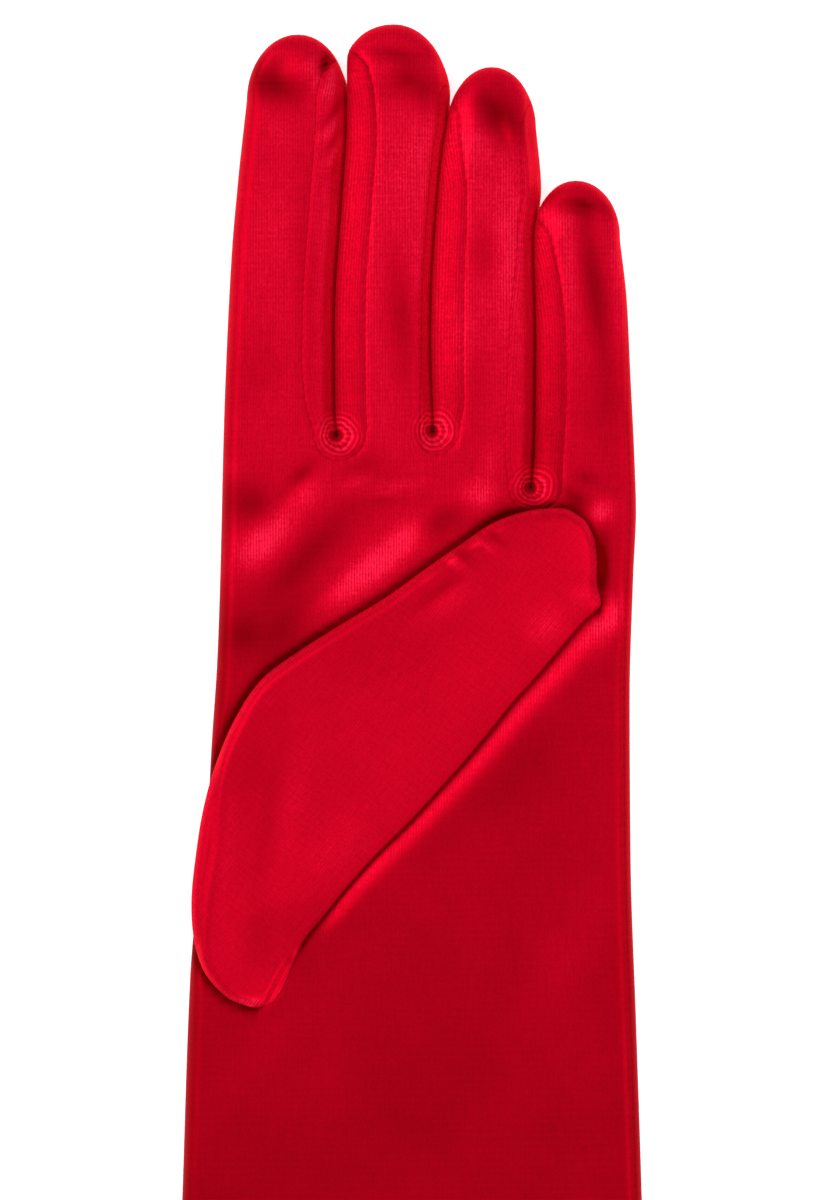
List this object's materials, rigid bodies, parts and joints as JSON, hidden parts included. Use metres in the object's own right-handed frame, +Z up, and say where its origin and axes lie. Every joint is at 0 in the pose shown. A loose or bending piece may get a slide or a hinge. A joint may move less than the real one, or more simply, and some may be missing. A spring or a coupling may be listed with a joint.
{
  "type": "long satin glove",
  "caption": "Long left-hand dress glove of red satin knit, lying flat and palm up with the thumb folded across the palm; hollow hand, fingers and sleeve, open at the hem.",
  "frame": {"origin": "centre of the glove's footprint, on the surface it lies on", "axes": "+Y along the glove from the hem to the fingertips, +Z up out of the palm, +X from the index finger towards the little finger"},
  "size_m": [0.112, 0.53, 0.0129],
  "materials": {
    "satin": "shiny satin warp knit, fine lengthwise ribs"
  },
  "bodies": {
    "root": {"hand_and_sleeve": "satin", "fourchette_index_middle": "satin", "fourchette_middle_ring": "satin", "fourchette_ring_little": "satin", "thumb": "satin"}
  },
  "joints": []
}
